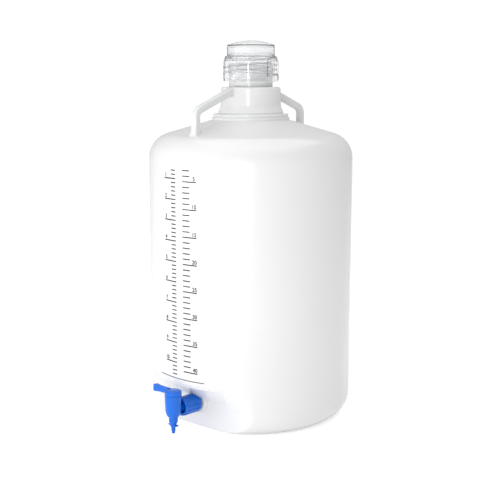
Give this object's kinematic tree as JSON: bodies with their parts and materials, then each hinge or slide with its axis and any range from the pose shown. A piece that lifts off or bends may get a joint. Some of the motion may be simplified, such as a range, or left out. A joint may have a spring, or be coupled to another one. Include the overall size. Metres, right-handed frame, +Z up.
{
  "type": "dispensing carboy",
  "caption": "Large round white plastic dispensing bottle with shoulder handles, a clear screw closure and a small quarter-turn tap on a flat panel at its foot.",
  "frame": {"origin": "centre of the base, on the plane of the ring that the bottle stands on", "axes": "+Z up along the bottle's axis; the tap points along -Y; the two handles lie in the YZ plane"},
  "size_m": [0.372, 0.4076, 0.6883],
  "materials": {
    "bottle_plastic": "translucent white blow-moulded plastic",
    "clear_plastic": "clear moulded plastic",
    "white_rubber": "matt",
    "dark_rubber": "matt",
    "tap_blue": "satin moulded plastic",
    "tap_navy": "satin moulded plastic",
    "seat_plastic": "smooth"
  },
  "bodies": {
    "bottle": {"bottle_foot": "bottle_plastic", "bottle_side": "bottle_plastic", "bottle_shoulder": "bottle_plastic", "bottle_block": "bottle_plastic", "bottle_neck": "bottle_plastic", "front_handle": "bottle_plastic", "rear_handle": "bottle_plastic", "tap_body": "tap_blue", "union_nut": "tap_navy", "tail_gasket": "dark_rubber", "inlet_seat": "seat_plastic", "plug_retainer": "seat_plastic", "outlet_nozzle": "tap_navy"},
    "closure": {"closure_dome": "clear_plastic", "closure_gasket": "white_rubber"},
    "screw_ring": {"closure_ring": "clear_plastic"},
    "valve": {"valve_plug": "tap_blue", "upper_o_ring": "dark_rubber", "lower_o_ring": "dark_rubber", "tap_lever": "tap_blue"}
  },
  "joints": [
    {"name": "closure_rise", "type": "slide", "parent": "bottle", "child": "closure", "axis": [0, 0, 1], "range_m": [0, 0.021]},
    {"name": "ring_turn", "type": "hinge", "parent": "closure", "child": "screw_ring", "pos_m": [0, 0, 0.64], "axis": [0, 0, 1], "range_deg": [0, 900]},
    {"name": "lever_turn", "type": "hinge", "parent": "bottle", "child": "valve", "pos_m": [0, -0.2065, 0.047], "axis": [0, 0, 1], "range_deg": [0, 90]}
  ],
  "couplings": [
    {"joint": "closure_rise", "follows": "ring_turn", "m_per_rad": 0.0013369}
  ]
}
